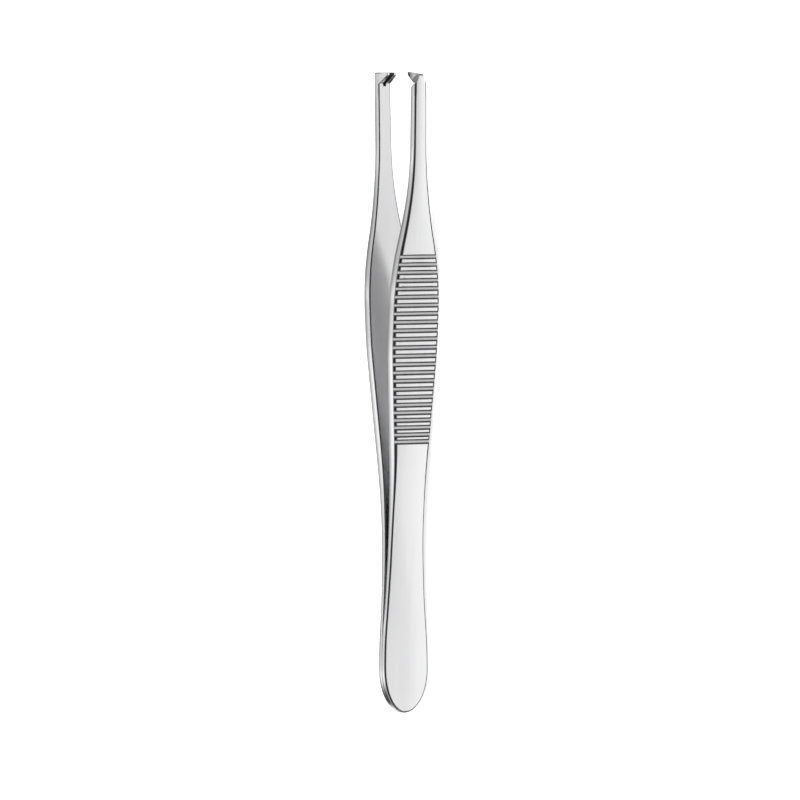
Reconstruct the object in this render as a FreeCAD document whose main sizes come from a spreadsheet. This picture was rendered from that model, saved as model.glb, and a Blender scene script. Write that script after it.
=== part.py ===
"""Thumb forceps, 130 mm, with one tooth meeting two: a parametric model in millimetres.

Two ground and polished steel blades are welded face to face at the heel and spring
apart towards the tips. Each blade is drawn flat along X from the heel end, with its
width along Z and the weld plane at Y = 0, then placed in the part's frame:
+X runs to the tips, the single tooth blade lies on the -Y side and the part lies on
its narrow edges with +Z up.
"""

import FreeCAD, Part
import math
import os

import Sketcher

# How far cuts run past the steel, and how far a long edge's faces may turn from square

CLEAR = 5.0
LEAN_ANGLE = 12.0

os.makedirs("parts", exist_ok=True)
doc = FreeCAD.newDocument("thumb_forceps")


# Driving sizes, in millimetres and degrees, then the values worked out from them

DRIVING_SIZES = [
    ("heel_round", 9.0, "length of the half ellipse that rounds the heel"),
    ("heel_width", 10.5, "width of the heel"),
    ("heel_taper", 9.0, "length of the outward curve behind the heel"),
    ("waist_run_in", 24.0, "length of the inward curve before the waist"),
    ("waist_width", 7.7, "narrowest width of the spring"),
    ("waist_run_out", 11.7, "length of the curve that leaves the waist"),
    ("flare_length", 17.3, "straight flare up to the grip"),
    ("grip_run_in", 6.0, "curve from the flare to the widest stretch"),
    ("grip_flat", 4.0, "straight stretch where the grip is widest"),
    ("grip_width", 10.96, "widest width of the grip"),
    ("grip_run_out", 15.1, "outward curve in front of the grip"),
    ("shank_run_in", 19.9, "inward curve down to the shank"),
    ("shank_width", 2.92, "width where the shank's straight taper starts"),
    ("tip_length", 14.0, "straight taper from the shank to the tip"),
    ("tip_width", 2.74, "width at the tip"),
    ("weld_length", 16.0, "length along which the two blades are welded"),
    ("weld_angle", 0.46, "angle at which a blade leaves the weld"),
    ("weld_lead", 1.0, "straight stretch between the weld and the bowed spring"),
    ("grip_angle", 4.175, "angle of the straight grip to the middle plane"),
    ("neck_angle", 5.43, "angle of the neck in front of the grip"),
    ("tip_angle", 1.49, "angle of the tip to the middle plane"),
    ("pad_start", 42.7, "from the weld to the straight inner face of the grip"),
    ("neck_from_flat", 11.0, "from the widest stretch to the neck's inner bend"),
    ("knee_from_neck", 14.0, "from the neck's inner bend to the knee"),
    ("neck_radius", 400.0, "bending radius at the neck"),
    ("knee_radius", 150.0, "bending radius at the knee"),
    ("spring_thickness", 1.3, "thickness of a blade at the weld"),
    ("ramp_thickness", 1.52, "thickness where the blade starts to thicken"),
    ("grip_thickness", 2.55, "thickness of a blade at the grip"),
    ("knee_thickness", 1.93, "thickness of a blade at the knee"),
    ("tip_thickness", 1.8, "thickness of a blade at the tip"),
    ("lift_from_weld", 4.0, "from the weld's end to where the outer face lifts"),
    ("ramp_before_waist", 4.0, "from where a blade starts to thicken to the waist"),
    ("lift_radius", 320.0, "outer radius where the blade leaves the weld"),
    ("ramp_radius", 160.0, "outer radius at both ends of the thickening"),
    ("edge_round_spring", 0.2, "rounding of the outer edges on the spring"),
    ("edge_round_grip", 0.65, "rounding of the outer edges on the grip"),
    ("edge_round_tip", 0.3, "rounding of the outer edges on the shank and tip"),
    ("groove_count", 24, "number of cross grooves on each grip"),
    ("groove_pitch", 1.72, "spacing of the grooves where they are widest apart"),
    ("groove_widest_step", 9, "steps from the first groove to the widest spacing"),
    ("groove_crowding", 0.0018, "loss of spacing by the square of the steps away"),
    ("groove_width", 1.02, "width of a groove at the surface"),
    ("groove_floor", 0.4, "width of a groove's floor"),
    ("groove_depth", 0.36, "depth of a groove"),
    ("groove_start", 11.6, "from the widest stretch to the first groove"),
    ("tooth_reach", 2.8, "how far a tooth stands out of the inner face"),
    ("tooth_height", 2.3, "from the end of the tip back to the tooth's root"),
    ("nose_height", 0.66, "height of a tooth's nose"),
    ("nose_round", 0.2, "rounding of a tooth's nose"),
    ("end_slope_front", 0.5, "fall of the single tooth's end towards the outer face"),
    ("end_slope_rear", 0.35, "fall of the two teeth's end towards their noses"),
    ("tooth_top_width", 1.1, "width of the single tooth at its end"),
    ("tooth_root_width", 1.36, "width of the single tooth at its shoulders"),
    ("tooth_nose_width", 0.72, "width of the single tooth at its nose"),
    ("shoulder_depth", 1.25, "from the tip's end to a shoulder beside the tooth"),
    ("shoulder_fall", 1.0, "fall of a shoulder towards the blade's edge"),
    ("slot_depth", 1.8, "depth of the slot between the two teeth"),
    ("slot_floor_width", 0.5, "width of the slot at its floor"),
    ("slot_mouth_width", 0.96, "width of the slot between the noses"),
    ("twin_side_taper", 0.29, "how far each outer side of the two teeth draws in"),
    ("seat_angle", 29.0, "slant of the shoulders and of the slot's floor"),
]

DERIVED_SIZES = [
    ("heel_taper_end", "=heel_round + heel_taper"),
    ("waist_at", "=heel_taper_end + waist_run_in"),
    ("flare_at", "=waist_at + waist_run_out"),
    ("swell_at", "=flare_at + flare_length"),
    ("flat_at", "=swell_at + grip_run_in"),
    ("flat_end", "=flat_at + grip_flat"),
    ("shoulder_at", "=flat_end + grip_run_out"),
    ("shank_at", "=shoulder_at + shank_run_in"),
    ("overall_length", "=shank_at + tip_length"),
    ("pad_at", "=weld_length + pad_start"),
    ("neck_at", "=flat_end + neck_from_flat"),
    ("knee_at", "=neck_at + knee_from_neck"),
    ("bow_start", "=weld_length + weld_lead * cos(weld_angle)"),
    ("spring_radius", "=(pad_at - bow_start) / (sin(grip_angle) - sin(weld_angle))"),
    ("bow_lift", "=weld_lead * sin(weld_angle)"),
    ("bow_reach", "=weld_lead + spring_radius * tan((grip_angle - weld_angle) / 2)"),
    ("bow_corner", "=weld_length + bow_reach * cos(weld_angle)"),
    ("bow_corner_inner", "=bow_reach * sin(weld_angle)"),
    ("pad_inner", "=bow_lift + spring_radius * (cos(weld_angle) - cos(grip_angle))"),
    ("lift_at", "=weld_length + lift_from_weld"),
    ("ramp_at", "=waist_at - ramp_before_waist"),
    ("ramp_end", "=flare_at"),
    ("neck_inner", "=pad_inner + (neck_at - pad_at) * tan(grip_angle)"),
    ("knee_inner", "=neck_inner + (knee_at - neck_at) * tan(neck_angle)"),
    ("tip_inner", "=knee_inner + (overall_length - knee_at) * tan(tip_angle)"),
    ("root_at", "=overall_length - tooth_height"),
    ("root_inner", "=tip_inner - tooth_height * tan(tip_angle)"),
    ("nose_at", "=overall_length - nose_height"),
    ("nose_inner", "=root_inner - tooth_reach"),
    ("ramp_run", "=ramp_at - bow_start + spring_radius * sin(weld_angle)"),
    ("ramp_arc", "=sqrt(spring_radius * spring_radius - ramp_run * ramp_run)"),
    ("ramp_inner", "=bow_lift + spring_radius * cos(weld_angle) - ramp_arc"),
    ("ramp_outer", "=ramp_inner + ramp_thickness"),
    ("ramp_end_outer", "=pad_inner - (pad_at - ramp_end) * tan(grip_angle) + grip_thickness"),
    ("neck_outer", "=neck_inner + grip_thickness"),
    ("knee_outer", "=knee_inner + knee_thickness"),
    ("tip_outer", "=tip_inner + tip_thickness"),
    ("blank_depth", "=tip_outer + grip_thickness"),
    ("groove_at", "=flat_end + groove_start"),
    ("groove_surface", "=pad_inner + (groove_at - pad_at) * tan(grip_angle) + grip_thickness"),
    ("front_end_at", "=overall_length - end_slope_front"),
    ("rear_nose_end_at", "=overall_length - end_slope_rear"),
    ("shoulder_root_at", "=overall_length - shoulder_depth"),
    ("shoulder_edge_at", "=shoulder_root_at - shoulder_fall"),
    ("slot_floor_at", "=overall_length - slot_depth"),
    ("twin_nose_width", "=tip_width - 2 * twin_side_taper"),
]


def make_sheet():
    """Write every size into the sheet, one aliased cell each."""
    made = doc.addObject("Spreadsheet::Sheet", "Sizes")
    for row, (alias, value, note) in enumerate(DRIVING_SIZES, start=1):
        made.set(f"A{row}", note)
        made.set(f"B{row}", str(value))
        made.setAlias(f"B{row}", alias)
    first_derived = len(DRIVING_SIZES) + 1
    for row, (alias, formula) in enumerate(DERIVED_SIZES, start=first_derived):
        made.set(f"B{row}", formula)
        made.setAlias(f"B{row}", alias)
    doc.recompute()
    return made


sheet = make_sheet()


def size(alias):
    """The present value of a named size."""
    return float(getattr(sheet, alias))


# Sketch helpers: every point and radius of a sketch is bound to a named cell

def term(alias, factor=1.0, plus=0.0):
    """A coordinate: its present value and the expression that it is bound to."""
    return (factor * size(alias) + plus, f"{factor} * Sizes.{alias} + {plus}")


ZERO = (0.0, None)


def attach(body, name, role, offset=None):
    """A new sketch on one of the body's origin planes, moved along its normal."""
    sketch = body.newObject("Sketcher::SketchObject", name)
    plane = next(f for f in body.Origin.OriginFeatures if f.Role == role)
    sketch.AttachmentSupport = [(plane, "")]
    sketch.MapMode = "FlatFace"
    if offset:
        sketch.setExpression("AttachmentOffset.Base.z", offset)
    return sketch


def bind(sketch, kind, *where_and_term):
    """Add one constraint whose value follows an expression."""
    *where, (value, text) = where_and_term
    index = sketch.addConstraint(Sketcher.Constraint(kind, *where, value))
    if text:
        sketch.setExpression(f"Constraints[{index}]", text)


def pin(sketch, geometry, end, across, up):
    """Fix one point of a geometry at a pair of coordinates."""
    bind(sketch, "DistanceX", -1, 1, geometry, end, across)
    bind(sketch, "DistanceY", -1, 1, geometry, end, up)


def arc_about(centre, start, finish, leftwards):
    """An arc between two points, and which of its ends is the start."""
    radius = (start - centre).Length
    circle = Part.Circle(centre, FreeCAD.Vector(0, 0, 1), radius)
    first, last = (start, finish) if leftwards else (finish, start)
    angles = [math.atan2(p.y - centre.y, p.x - centre.x) for p in (first, last)]
    if angles[1] < angles[0]:
        angles[1] += 2 * math.pi
    return Part.ArcOfCircle(circle, *angles), (1, 2) if leftwards else (2, 1)


def rounded_corner(before, corner, after, radius):
    """The two touching points, the centre and the sense of a rounded corner."""
    back = (before - corner).normalize()
    ahead = (after - corner).normalize()
    half = back.getAngle(ahead) / 2
    reach = radius / math.tan(half)
    enter = corner + back * reach
    leave = corner + ahead * reach
    centre = corner + (back + ahead).normalize() * (radius / math.sin(half))
    leftwards = back.cross(ahead).z < 0
    return enter, leave, centre, leftwards


def draw_polygon(sketch, corners):
    """Draw a closed outline: (across, up, radius or None) for each corner.

    Straight sides join the corners, and a corner with a radius is rounded by an arc
    that touches both of its sides.
    """
    points = [FreeCAD.Vector(across[0], up[0], 0) for across, up, _ in corners]
    count = len(points)
    enters, leaves, arcs = list(points), list(points), [None] * count
    for i, (_, _, radius) in enumerate(corners):
        if radius is None:
            continue
        before, after = points[i - 1], points[(i + 1) % count]
        enter, leave, centre, leftwards = rounded_corner(before, points[i], after, radius[0])
        arc, ends = arc_about(centre, enter, leave, leftwards)
        enters[i], leaves[i] = enter, leave
        arcs[i] = (sketch.addGeometry(arc), ends)
    sides = []
    for i in range(count):
        side = Part.LineSegment(leaves[i], enters[(i + 1) % count])
        sides.append(sketch.addGeometry(side))
    for i, (across, up, radius) in enumerate(corners):
        coming, going = sides[i - 1], sides[i]
        if arcs[i] is None:
            sketch.addConstraint(Sketcher.Constraint("Coincident", coming, 2, going, 1))
            pin(sketch, going, 1, across, up)
            continue
        arc, (first, last) = arcs[i]
        vertex = sketch.addGeometry(Part.Point(points[i]), True)
        pin(sketch, vertex, 1, across, up)
        sketch.addConstraint(Sketcher.Constraint("PointOnObject", vertex, 1, coming))
        sketch.addConstraint(Sketcher.Constraint("PointOnObject", vertex, 1, going))
        sketch.addConstraint(Sketcher.Constraint("Tangent", coming, 2, arc, first))
        sketch.addConstraint(Sketcher.Constraint("Tangent", arc, last, going, 1))
        bind(sketch, "Radius", arc, radius)
    return sides


class OutlineRun:
    """One long side of a blade's width outline, drawn from the heel to the tip."""

    def __init__(self, sketch, hand):
        self.sketch = sketch
        self.hand = hand
        self.heading = 0.0
        self.point = self.place("heel_round", "heel_width")
        self.last = None

    def place(self, station, width):
        """The point at half a named width, at a named station."""
        return FreeCAD.Vector(size(station), self.hand * size(width) / 2, 0)

    def curve_to(self, station, heading):
        """Add an arc that ends at a station with a guessed heading, and bind its end."""
        heading *= self.hand
        run = size(station) - self.point.x
        radius = run / (math.sin(heading) - math.sin(self.heading))
        sideways = FreeCAD.Vector(-math.sin(self.heading), math.cos(self.heading), 0)
        centre = self.point + sideways * radius
        finish = centre + FreeCAD.Vector(math.sin(heading), -math.cos(heading), 0) * radius
        arc, ends = arc_about(centre, self.point, finish, radius > 0)
        self.point, self.heading = finish, heading
        return self.join(self.sketch.addGeometry(arc), ends)

    def line_to(self, finish):
        """Add a straight side to a point."""
        geometry = self.sketch.addGeometry(Part.LineSegment(self.point, finish))
        self.point = finish
        return self.join(geometry, (1, 2))

    def join(self, geometry, ends):
        """Remember the last piece, and say which pieces and ends now meet."""
        before, self.last = self.last, (geometry, ends[1])
        return before, (geometry, ends[0]), (geometry, ends[1])

    def meet(self, before, after, smooth):
        """Join two ends, smoothly or only at the point."""
        if before is None:
            return
        kind = "Tangent" if smooth else "Coincident"
        self.sketch.addConstraint(Sketcher.Constraint(kind, *before, *after))

    def level(self, end, station):
        """Keep an arc level at a station, by keeping its centre there."""
        bind(self.sketch, "DistanceX", -1, 1, end[0], 3, term(station))

    def hold(self, end, station, width):
        """Pin an end to a named station and half a named width."""
        pin(self.sketch, *end, term(station), term(width, self.hand * 0.5))

    def at(self, end, station):
        """Keep an end at a named station, its height left free."""
        bind(self.sketch, "DistanceX", -1, 1, *end, term(station))


def draw_outline_side(sketch, hand):
    """The heel's taper, the waist, the flare, the grip and the shank on one side."""
    run = OutlineRun(sketch, hand)
    heel_fall = (size("heel_width") - size("waist_width")) / 2
    steepest_in = -2 * heel_fall / (size("waist_at") - size("heel_round"))
    _, first, end = run.curve_to("heel_taper_end", steepest_in)
    if hand > 0:
        run.hold(first, "heel_round", "heel_width")
    else:
        run.at(first, "heel_round")
    run.level(first, "heel_round")
    run.at(end, "heel_taper_end")
    begin = first
    before, start, end = run.curve_to("waist_at", 0.0)
    run.meet(before, start, True)
    run.hold(end, "waist_at", "waist_width")
    run.level(end, "waist_at")

    rise = (size("grip_width") - size("waist_width")) / 2
    curved = size("waist_run_out") + size("grip_run_in")
    steepest_out = rise / (curved / 2 + size("flare_length"))
    before, start, end = run.curve_to("flare_at", steepest_out)
    run.meet(before, start, False)
    run.level(end, "waist_at")
    run.at(end, "flare_at")
    across = FreeCAD.Vector(1, hand * math.tan(steepest_out), 0) * size("flare_length")
    before, start, end = run.line_to(run.point + across)
    run.meet(before, start, True)
    run.at(end, "swell_at")
    before, start, end = run.curve_to("flat_at", 0.0)
    run.meet(before, start, True)
    run.hold(end, "flat_at", "grip_width")
    run.level(end, "flat_at")

    before, start, end = run.line_to(run.place("flat_end", "grip_width"))
    run.meet(before, start, False)
    run.hold(end, "flat_end", "grip_width")
    fall = (size("grip_width") - size("shank_width")) / 2
    taper = (size("shank_width") - size("tip_width")) / 2 / size("tip_length")
    reach = size("shank_at") - size("flat_end")
    steepest_fall = (2 * fall - size("shank_run_in") * taper) / reach
    before, start, end = run.curve_to("shoulder_at", -steepest_fall)
    run.meet(before, start, False)
    run.level(start, "flat_end")
    run.at(end, "shoulder_at")
    before, start, end = run.curve_to("shank_at", -taper)
    run.meet(before, start, True)
    run.hold(end, "shank_at", "shank_width")
    before, start, end = run.line_to(run.place("overall_length", "tip_width"))
    run.meet(before, start, True)
    run.hold(end, "overall_length", "tip_width")
    return begin, end


def draw_heel(sketch, ends):
    """The half ellipse that rounds the heel, joined to both long sides.

    Its flanks are where the long sides start, so only its long axis is given here.
    """
    centre = FreeCAD.Vector(size("heel_round"), 0, 0)
    heel_end = FreeCAD.Vector(0, 0, 0)
    flank = FreeCAD.Vector(size("heel_round"), size("heel_width") / 2, 0)
    ellipse = Part.Ellipse(heel_end, flank, centre)
    quarter = math.pi / 2
    arc = sketch.addGeometry(Part.ArcOfEllipse(ellipse, -quarter, quarter))
    long_axis = arc + 1
    first = sketch.getPoint(arc, 1)
    sketch.exposeInternalGeometry(arc)
    pin(sketch, arc, 3, term("heel_round"), ZERO)
    sketch.addConstraint(Sketcher.Constraint("Horizontal", long_axis))
    bind(sketch, "Distance", long_axis, term("heel_round", 2.0))
    near, far = ends if first.y > 0 else ends[::-1]
    sketch.addConstraint(Sketcher.Constraint("Coincident", arc, 1, *near))
    sketch.addConstraint(Sketcher.Constraint("Coincident", arc, 2, *far))


def draw_outline(sketch):
    """The whole width outline of a blade."""
    upper_heel, upper_tip = draw_outline_side(sketch, 1)
    lower_heel, lower_tip = draw_outline_side(sketch, -1)
    draw_heel(sketch, (upper_heel, lower_heel))
    end_line = Part.LineSegment(sketch.getPoint(*upper_tip), sketch.getPoint(*lower_tip))
    end = sketch.addGeometry(end_line)
    sketch.addConstraint(Sketcher.Constraint("Coincident", end, 1, *upper_tip))
    sketch.addConstraint(Sketcher.Constraint("Coincident", end, 2, *lower_tip))


# The blades: a padded outline with its inner and outer waste cut away

def make_feature(body, kind, name, sketch):
    """A pad or a pocket made from a sketch."""
    feature = body.newObject(f"PartDesign::{kind}", name)
    feature.Profile = sketch
    return feature


def cut_through(body, name, sketch):
    """A pocket through the whole width, both ways from its sketch."""
    pocket = make_feature(body, "Pocket", name, sketch)
    pocket.Type = "ThroughAll"
    pocket.Midplane = True
    return pocket


def outer_waste(side):
    """The corners of what is ground off a blade's outer face."""
    thin = term("spring_thickness", side)
    beyond = term("blank_depth", side, side * CLEAR)
    before = term("heel_round", 0.0, -CLEAR)
    return [
        (before, thin, None),
        (term("lift_at"), thin, term("lift_radius")),
        (term("ramp_at"), term("ramp_outer", side), term("ramp_radius")),
        (term("ramp_end"), term("ramp_end_outer", side), term("ramp_radius")),
        (term("neck_at"), term("neck_outer", side), term("neck_radius")),
        (term("knee_at"), term("knee_outer", side), term("knee_radius")),
        (term("overall_length"), term("tip_outer", side), None),
        (term("overall_length", 1.0, CLEAR), term("tip_outer", side), None),
        (term("overall_length", 1.0, CLEAR), beyond, None),
        (before, beyond, None),
    ]


def inner_waste(side, nose_end, outer_end):
    """The corners of what is cut away inside a blade and past its tooth."""
    middle = term("heel_round", 0.0, -side * CLEAR)
    beyond = term("overall_length", 1.0, CLEAR)
    return [
        (term("weld_length"), term("heel_round", 0.0), None),
        (term("bow_corner"), term("bow_corner_inner", side), term("spring_radius")),
        (term("neck_at"), term("neck_inner", side), term("neck_radius")),
        (term("knee_at"), term("knee_inner", side), term("knee_radius")),
        (term("root_at"), term("root_inner", side), None),
        (term("nose_at"), term("nose_inner", side), term("nose_round")),
        (term(nose_end), term("nose_inner", side), term("nose_round")),
        (term(outer_end), term("tip_outer", side), None),
        (term(outer_end), term("blank_depth", side, side * CLEAR), None),
        (beyond, term("blank_depth", side, side * CLEAR), None),
        (beyond, middle, None),
        (term("weld_length"), middle, None),
    ]


def make_blank(name, side, nose_end, outer_end):
    """A blade with its outline and its bowed, thickened side profile."""
    body = doc.addObject("PartDesign::Body", f"{name}_blank")
    outline = attach(body, f"{name}_outline", "XZ_Plane")
    draw_outline(outline)
    pad = make_feature(body, "Pad", f"{name}_bar", outline)
    pad.Reversed = side > 0
    pad.setExpression("Length", "Sizes.blank_depth")
    outer = attach(body, f"{name}_outer_face", "XY_Plane")
    draw_polygon(outer, outer_waste(side))
    cut_through(body, f"{name}_outer_cut", outer)
    inner = attach(body, f"{name}_inner_face", "XY_Plane")
    draw_polygon(inner, inner_waste(side, nose_end, outer_end))
    cut_through(body, f"{name}_inner_cut", inner)
    doc.recompute()
    return body


def edge_round(station):
    """The rounding of an outer edge at a distance from the heel end."""
    marks = [
        (size("waist_at"), size("edge_round_spring")),
        (size("flare_at"), size("edge_round_grip")),
        (size("neck_at"), size("edge_round_grip")),
        (size("shank_at"), size("edge_round_tip")),
    ]
    if station <= marks[0][0]:
        return marks[0][1]
    for (start, first), (finish, last) in zip(marks, marks[1:]):
        if station <= finish:
            return first + (last - first) * (station - start) / (finish - start)
    return marks[-1][1]


def faces_outwards(face, edge, side):
    """How far a face looks away from the middle plane, at the middle of an edge."""
    middle = edge.valueAt((edge.FirstParameter + edge.LastParameter) / 2)
    normal = face.normalAt(*face.Surface.parameter(middle))
    return normal.y * side


def outer_edges(shape, side):
    """The numbers of the long edges round the outer face, the tip's end left out."""
    found = []
    lean = math.radians(LEAN_ANGLE)
    for number, edge in enumerate(shape.Edges, start=1):
        faces = shape.ancestorsOfType(edge, Part.Face)
        if len(faces) != 2:
            continue
        outward = sorted(faces_outwards(face, edge, side) for face in faces)
        at_tip = edge.BoundBox.XMin > size("nose_at")
        square = outward[1] > math.cos(lean) and abs(outward[0]) < math.sin(lean)
        if square and not at_tip:
            found.append(number)
    return found


def round_edges(name, blank, side):
    """Round the outer long edges: little on the spring, most on the grip."""
    rounded = doc.addObject("Part::Fillet", f"{name}_rounded")
    rounded.Base = blank
    shape = blank.Shape
    rounded.Edges = [
        (number, *(edge_round(v.Point.x) for v in shape.Edges[number - 1].Vertexes))
        for number in outer_edges(shape, side)
    ]
    doc.recompute()
    return rounded


def lay_along_grip(sketch, side):
    """Turn a sketch so that its first axis runs along the grip's outer face."""
    sketch.AttachmentOffset = FreeCAD.Placement(
        FreeCAD.Vector(size("groove_at"), side * size("groove_surface"), 0),
        FreeCAD.Rotation(FreeCAD.Vector(0, 0, side), size("grip_angle")),
    )
    sketch.setExpression("AttachmentOffset.Base.x", "Sizes.groove_at")
    sketch.setExpression("AttachmentOffset.Base.y", f"{side} * Sizes.groove_surface")
    sketch.setExpression("AttachmentOffset.Rotation.Angle", "Sizes.grip_angle")


def groove_spacings():
    """The spacing of the grooves, widest a third of the way along the grip."""
    widest = size("groove_widest_step")
    steps = range(int(size("groove_count")) - 1)
    return [size("groove_pitch") - size("groove_crowding") * (k - widest) ** 2 for k in steps]


def cut_grooves(body, name, side):
    """The cross grooves: one trapezoid cut, repeated from the neck to the flare."""
    section = attach(body, f"{name}_groove", "XY_Plane")
    lay_along_grip(section, side)
    floor = term("groove_depth", -side)
    above = term("groove_depth", side)
    ahead, behind = term("groove_width", 0.5), term("groove_width", -0.5)
    level = term("groove_depth", 0.0)
    draw_polygon(section, [
        (ahead, above, None),
        (ahead, level, None),
        (term("groove_floor", 0.5), floor, None),
        (term("groove_floor", -0.5), floor, None),
        (behind, level, None),
        (behind, above, None),
    ])
    first = make_feature(body, "Pocket", f"{name}_first_groove", section)
    first.Midplane = True
    first.setExpression("Length", f"Sizes.grip_width + {CLEAR}")
    doc.recompute()
    grooves = body.newObject("PartDesign::LinearPattern", f"{name}_grooves")
    grooves.Originals = [first]
    grooves.Direction = (section, ["H_Axis"])
    grooves.Reversed = True
    grooves.Mode = "Spacing"
    grooves.setExpression("Occurrences", "Sizes.groove_count")
    doc.recompute()
    grooves.Spacings = groove_spacings()
    body.Tip = grooves
    doc.recompute()


def cut_slanted(body, name, side, corners):
    """A cut down the tip from its outer face, slanting towards the heel."""
    sketch = attach(body, name, "XZ_Plane", f"{-side} * Sizes.tip_outer")
    for part_corners in corners:
        draw_polygon(sketch, part_corners)
    pocket = make_feature(body, "Pocket", f"{name}_cut", sketch)
    pocket.Type = "ThroughAll"
    pocket.UseCustomVector = True
    slant = math.radians(size("seat_angle"))
    pocket.Direction = FreeCAD.Vector(-math.sin(slant), -side * math.cos(slant), 0)
    pocket.setExpression("Direction.x", "-sin(Sizes.seat_angle)")
    pocket.setExpression("Direction.y", f"{-side} * cos(Sizes.seat_angle)")
    doc.recompute()


def shoulder_corners(hand):
    """The corners of the shoulder cut on one side of the single tooth."""
    root = term("tooth_root_width", hand * 0.5)
    top = term("tooth_top_width", hand * 0.5)
    past = term("tip_width", hand * 0.5, hand * CLEAR)
    beyond = term("overall_length", 1.0, CLEAR)
    return [
        (term("shoulder_root_at"), root, None),
        (term("overall_length"), top, None),
        (beyond, top, None),
        (beyond, past, None),
        (term("shoulder_edge_at"), past, None),
        (term("shoulder_edge_at"), term("tip_width", hand * 0.5), None),
    ]


def slot_corners():
    """The corners of the slot between the two teeth."""
    beyond = term("overall_length", 1.0, CLEAR)
    return [
        (term("slot_floor_at"), term("slot_floor_width", -0.5), None),
        (term("overall_length"), term("slot_mouth_width", -0.5), None),
        (beyond, term("slot_mouth_width", -0.5), None),
        (beyond, term("slot_mouth_width", 0.5), None),
        (term("overall_length"), term("slot_mouth_width", 0.5), None),
        (term("slot_floor_at"), term("slot_floor_width", 0.5), None),
    ]


def narrow_nose(body, name, side, root_width, nose_width):
    """Draw in both outer sides of the teeth between the inner face and their noses."""
    sketch = attach(body, name, "YZ_Plane", "Sizes.root_at - Sizes.tooth_reach")
    for hand in (1, -1):
        past = term("tip_width", hand * 0.5, hand * CLEAR)
        middle = term("nose_inner", 0.0)
        draw_polygon(sketch, [
            (term("tip_inner", side), term(root_width, hand * 0.5), None),
            (term("nose_inner", side), term(nose_width, hand * 0.5), None),
            (middle, term(nose_width, hand * 0.5), None),
            (middle, past, None),
            (term("tip_inner", side), past, None),
        ])
    pocket = make_feature(body, "Pocket", f"{name}_cut", sketch)
    pocket.Type = "ThroughAll"
    pocket.Reversed = True
    doc.recompute()


def make_blade(name, side, nose_end, outer_end):
    """A whole blade: blank, rounded edges, grooves, then placed in the part's frame."""
    blank = make_blank(name, side, nose_end, outer_end)
    rounded = round_edges(name, blank, side)
    body = doc.addObject("PartDesign::Body", name)
    body.Label = name
    body.BaseFeature = rounded
    doc.recompute()
    cut_grooves(body, name, side)
    body.setExpression("Placement.Base.x", "-Sizes.overall_length / 2")
    body.setExpression("Placement.Base.z", "Sizes.grip_width / 2")
    return body


def make_single_tooth_blade():
    """The front blade: one tooth between two sloping shoulders."""
    name = "single_tooth_blade"
    body = make_blade(name, -1, "overall_length", "front_end_at")
    cut_slanted(body, "tooth_shoulders", -1, [shoulder_corners(1), shoulder_corners(-1)])
    narrow_nose(body, "tooth_sides", -1, "tooth_root_width", "tooth_nose_width")
    return body


def make_double_tooth_blade():
    """The rear blade: two teeth with a slot between them that takes the single tooth."""
    name = "double_tooth_blade"
    body = make_blade(name, 1, "rear_nose_end_at", "overall_length")
    cut_slanted(body, "tooth_slot", 1, [slot_corners()])
    narrow_nose(body, "twin_sides", 1, "tip_width", "twin_nose_width")
    return body


# Making, checking and writing the two blades

def check(blades):
    """Stop if any object failed or a blade isn't one valid solid."""
    doc.recompute()
    for made in doc.Objects:
        if "Invalid" in made.State or "Error" in made.State:
            raise RuntimeError(f"{made.Name} failed: {made.State}")
    for blade in blades:
        shape = blade.Shape
        if shape.isNull() or not shape.isValid() or len(shape.Solids) != 1:
            raise RuntimeError(f"{blade.Label} is not one valid solid")


blades = [make_single_tooth_blade(), make_double_tooth_blade()]
check(blades)
for blade in blades:
    blade.Shape.exportStep(f"parts/{blade.Label}.step")
    print(blade.Label, round(blade.Shape.Volume, 2), blade.Shape.BoundBox)
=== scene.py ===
"""Thumb forceps of polished steel, lying on its side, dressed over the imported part.

Each blade is a mesh made from the same side profiles and width outline as the solid,
close enough for smooth reflections, with its tip and teeth rounded as a polisher
leaves them and its grip cut by a geometry nodes tree. Lengths are in millimetres from
the heel end until a mesh is made, which is in metres in the part's own frame.
"""

import math

import bmesh
import bpy
import numpy as np
from mathutils import Matrix, Vector


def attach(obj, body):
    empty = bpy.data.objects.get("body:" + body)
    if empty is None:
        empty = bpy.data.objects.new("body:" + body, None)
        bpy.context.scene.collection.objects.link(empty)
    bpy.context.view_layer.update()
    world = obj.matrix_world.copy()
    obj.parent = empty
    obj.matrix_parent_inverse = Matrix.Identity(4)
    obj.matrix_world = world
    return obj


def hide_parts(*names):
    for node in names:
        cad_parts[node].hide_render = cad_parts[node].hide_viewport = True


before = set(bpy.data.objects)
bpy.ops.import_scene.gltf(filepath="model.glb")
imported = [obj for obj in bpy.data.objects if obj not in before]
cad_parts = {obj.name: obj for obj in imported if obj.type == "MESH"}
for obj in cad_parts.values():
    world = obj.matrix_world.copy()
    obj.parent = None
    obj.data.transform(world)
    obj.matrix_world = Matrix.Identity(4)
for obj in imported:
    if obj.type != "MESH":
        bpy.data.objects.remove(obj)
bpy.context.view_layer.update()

MM = 0.001

# Width outline, from the heel to the tip

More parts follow.
